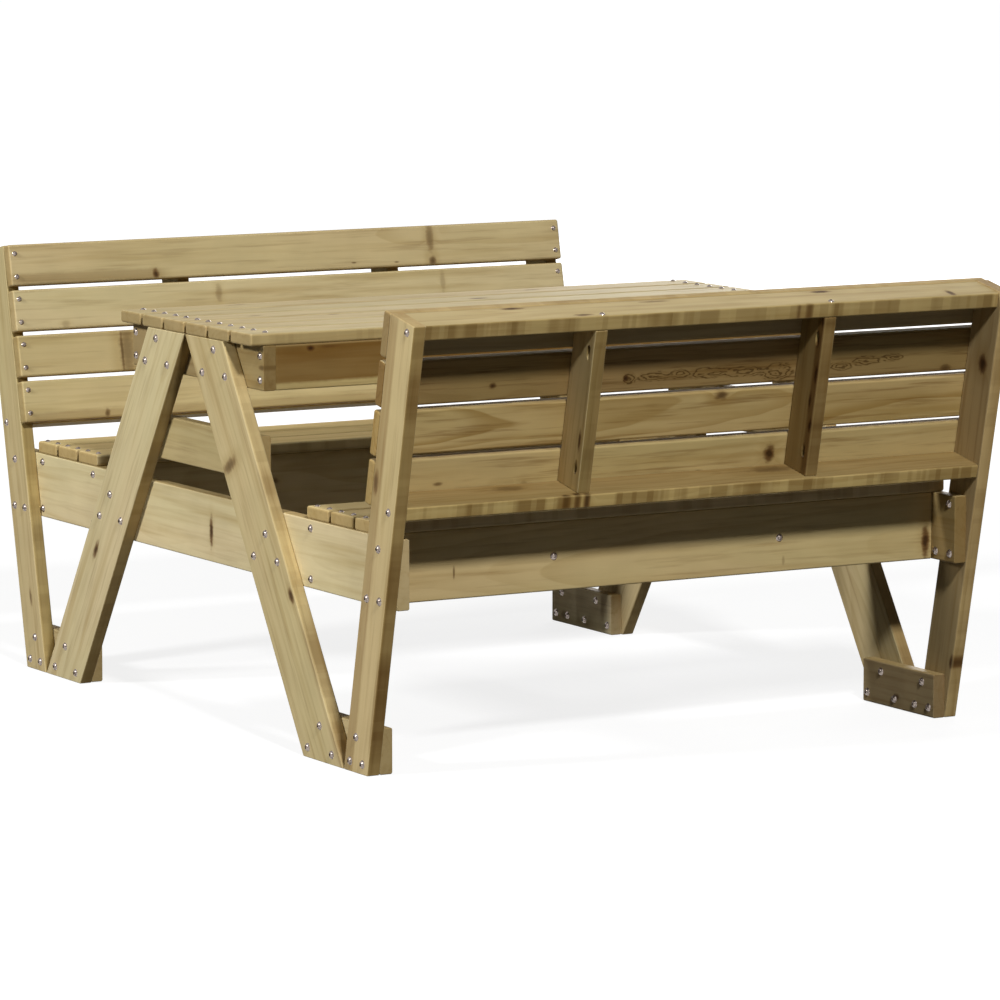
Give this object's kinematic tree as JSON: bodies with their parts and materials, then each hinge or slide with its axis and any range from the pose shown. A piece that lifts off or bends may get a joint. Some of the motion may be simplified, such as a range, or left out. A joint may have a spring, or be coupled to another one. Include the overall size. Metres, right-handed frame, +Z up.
{
  "type": "kids picnic table",
  "caption": "Small slatted wooden picnic table on A-frame ends, with a bench and a backrest on each long side, bolted and screwed together.",
  "frame": {"origin": "on the floor, in the middle of the footprint", "axes": "+X along the benches, +Y across from the near bench to the far bench, +Z up"},
  "size_m": [0.8862, 1.2202, 0.5809],
  "materials": {
    "pine": "planed, pressure-impregnated pine, olive-tan, bare",
    "zinc": "bright zinc plate"
  },
  "bodies": {
    "root": {"back_lower_rail_far": "pine", "back_lower_rail_near": "pine", "back_slat_far_1": "pine", "back_slat_far_2": "pine", "back_slat_far_3": "pine", "back_slat_far_4": "pine", "back_slat_near_1": "pine", "back_slat_near_2": "pine", "back_slat_near_3": "pine", "back_slat_near_4": "pine", "back_stile_far_left": "pine", "back_stile_far_right": "pine", "back_stile_near_left": "pine", "back_stile_near_right": "pine", "back_top_rail_far": "pine", "back_top_rail_near": "pine", "cross_rail_left": "pine", "cross_rail_right": "pine", "foot_plate_left_far": "pine", "foot_plate_left_near": "pine", "foot_plate_right_far": "pine", "foot_plate_right_near": "pine", "frame_bolts": "zinc", "frame_sleeve_nuts": "zinc", "joint_screws": "zinc", "leg_left_far": "pine", "leg_left_near": "pine", "leg_right_far": "pine", "leg_right_near": "pine", "leg_tie_left": "pine", "leg_tie_right": "pine", "post_left_far": "pine", "post_left_near": "pine", "post_right_far": "pine", "post_right_near": "pine", "seat_brace_far_left": "pine", "seat_brace_far_right": "pine", "seat_brace_near_left": "pine", "seat_brace_near_right": "pine", "seat_front_apron_far": "pine", "seat_front_apron_near": "pine", "seat_rear_apron_far": "pine", "seat_rear_apron_near": "pine", "seat_slat_far_1": "pine", "seat_slat_far_2": "pine", "seat_slat_far_3": "pine", "seat_slat_near_1": "pine", "seat_slat_near_2": "pine", "seat_slat_near_3": "pine", "slat_screws": "zinc", "table_apron_far": "pine", "table_apron_near": "pine", "table_crossbeam_left": "pine", "table_crossbeam_right": "pine", "table_slat_1": "pine", "table_slat_2": "pine", "table_slat_3": "pine", "table_slat_4": "pine", "table_slat_5": "pine", "table_slat_6": "pine"}
  },
  "joints": []
}
